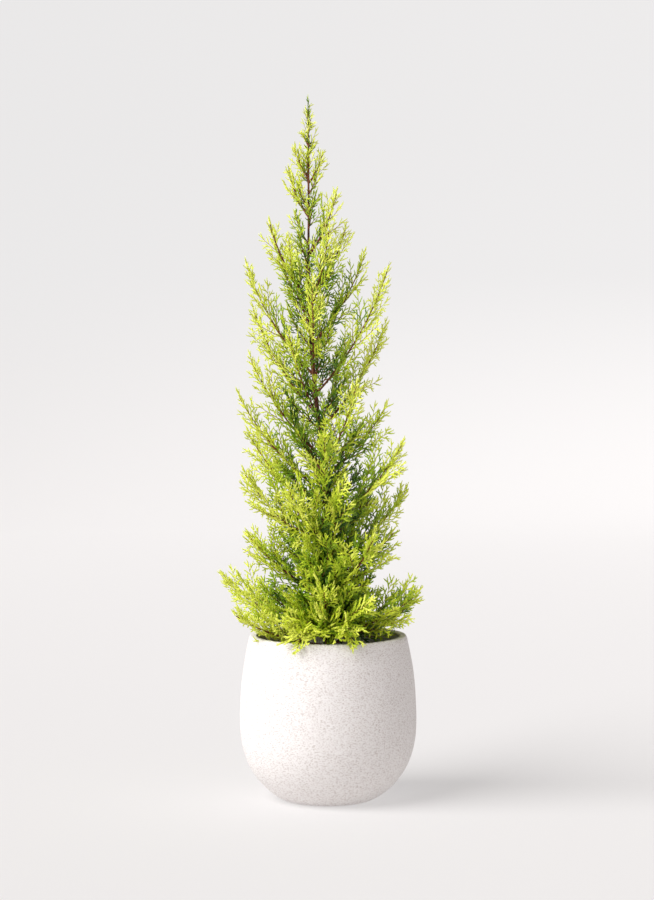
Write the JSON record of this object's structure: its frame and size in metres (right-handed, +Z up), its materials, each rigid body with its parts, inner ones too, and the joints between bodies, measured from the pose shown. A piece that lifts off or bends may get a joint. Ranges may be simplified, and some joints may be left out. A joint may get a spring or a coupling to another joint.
{
  "type": "potted goldcrest monterey cypress",
  "caption": "Slim golden-green conifer of feathery upright plumes on one leaning trunk, standing in a round-bellied pale stone planter.",
  "frame": {"origin": "centre of the planter's flat underside", "axes": "+Z up from the underside to the tip of the tree, -Y towards the viewer of the picture, +X to the viewer's right"},
  "size_m": [0.359, 0.3255, 1.223],
  "materials": {
    "planter": "matte",
    "soil": "matte",
    "trunk_bark": "matte",
    "bough_bark": "matte",
    "foliage": "matte"
  },
  "bodies": {
    "root": {"pot": "planter", "potting_soil": "soil", "trunk": "trunk_bark", "bough_back_03": "bough_bark", "bough_back_04": "bough_bark", "bough_front_03": "bough_bark", "bough_front_04": "bough_bark", "bough_left_01": "bough_bark", "bough_left_02": "bough_bark", "bough_left_03": "bough_bark", "bough_left_10": "bough_bark", "bough_right_01": "bough_bark", "bough_right_02": "bough_bark", "bough_right_03": "bough_bark", "foliage_back_01": "foliage", "foliage_back_02": "foliage", "foliage_back_03": "foliage", "foliage_back_04": "foliage", "foliage_back_05": "foliage", "foliage_back_06": "foliage", "foliage_back_07": "foliage", "foliage_back_08": "foliage", "foliage_back_09": "foliage", "foliage_back_10": "foliage", "foliage_front_01": "foliage", "foliage_front_02": "foliage", "foliage_front_03": "foliage", "foliage_front_04": "foliage", "foliage_front_05": "foliage", "foliage_front_06": "foliage", "foliage_front_07": "foliage", "foliage_front_08": "foliage", "foliage_front_09": "foliage", "foliage_front_10": "foliage", "foliage_leader_01": "foliage", "foliage_left_01": "foliage", "foliage_left_02": "foliage", "foliage_left_03": "foliage", "foliage_left_04": "foliage", "foliage_left_05": "foliage", "foliage_left_06": "foliage", "foliage_left_07": "foliage", "foliage_left_08": "foliage", "foliage_left_09": "foliage", "foliage_left_10": "foliage", "foliage_left_11": "foliage", "foliage_left_12": "foliage", "foliage_right_01": "foliage", "foliage_right_02": "foliage", "foliage_right_03": "foliage", "foliage_right_04": "foliage", "foliage_right_05": "foliage", "foliage_right_06": "foliage", "foliage_right_07": "foliage", "foliage_right_08": "foliage", "foliage_right_09": "foliage", "foliage_right_10": "foliage", "foliage_right_11": "foliage", "foliage_right_12": "foliage"}
  },
  "joints": []
}
